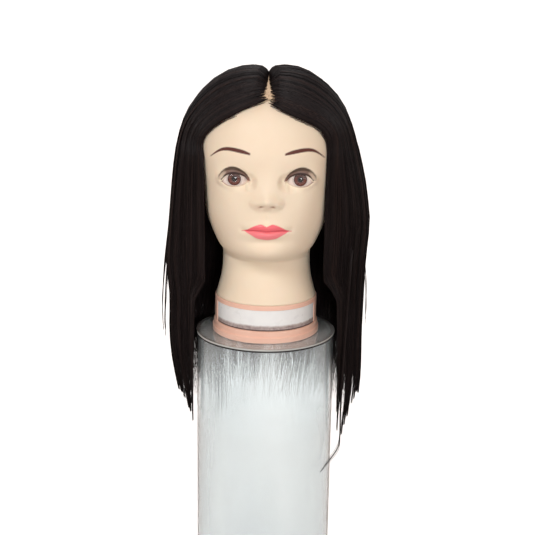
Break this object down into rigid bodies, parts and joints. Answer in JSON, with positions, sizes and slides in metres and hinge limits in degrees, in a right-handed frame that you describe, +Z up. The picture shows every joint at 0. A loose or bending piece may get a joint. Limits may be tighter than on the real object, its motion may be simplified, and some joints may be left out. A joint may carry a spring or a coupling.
{
  "type": "mannequin training head",
  "caption": "Hairdressing training head with a doll-like vinyl face, long centre-parted dark hair and a pink neck base that turns on an upturned clear cylinder stand.",
  "frame": {"origin": "centre of the stand's foot, on the surface that it stands on", "axes": "+Z up along the swivel axis, -Y the way the face looks, +X the head's own left"},
  "size_m": [0.2066, 0.2016, 0.5534],
  "materials": {
    "clear_plastic": "gloss",
    "post_metal": "satin",
    "screw_steel": "satin",
    "pink_plastic": "satin",
    "label_paper": "matte",
    "plug_wood": "matte",
    "socket_plastic": "matte",
    "foam": "matte",
    "vinyl_skin": "satin",
    "scalp": "matte",
    "eye_white": "gloss",
    "eye_iris": "gloss",
    "eye_lens": "gloss",
    "hair": "satin"
  },
  "bodies": {
    "stand": {"stand_tube": "clear_plastic", "stand_top": "clear_plastic", "swivel_post": "post_metal", "post_screw": "screw_steel", "post_washer": "screw_steel"},
    "head": {"base_screws": "screw_steel", "base_flange": "pink_plastic", "neck_collar": "pink_plastic", "label_strip": "label_paper", "neck_plug": "plug_wood", "socket_tube": "socket_plastic", "foam_core": "foam", "head_skin": "vinyl_skin", "scalp_cap": "scalp", "left_eye_white": "eye_white", "left_eye_iris": "eye_iris", "left_eye_lens": "eye_lens", "right_eye_white": "eye_white", "right_eye_iris": "eye_iris", "right_eye_lens": "eye_lens", "hair_left_front": "hair", "hair_left_temple": "hair", "hair_left_side": "hair", "hair_left_rear": "hair", "hair_left_back": "hair", "hair_left_nape": "hair", "hair_right_front": "hair", "hair_right_temple": "hair", "hair_right_side": "hair", "hair_right_rear": "hair", "hair_right_back": "hair", "hair_right_nape": "hair"}
  },
  "joints": [
    {"name": "head_swivel", "type": "hinge", "parent": "stand", "child": "head", "pos_m": [0, 0, 0.28], "axis": [0, 0, 1], "continuous": true}
  ]
}
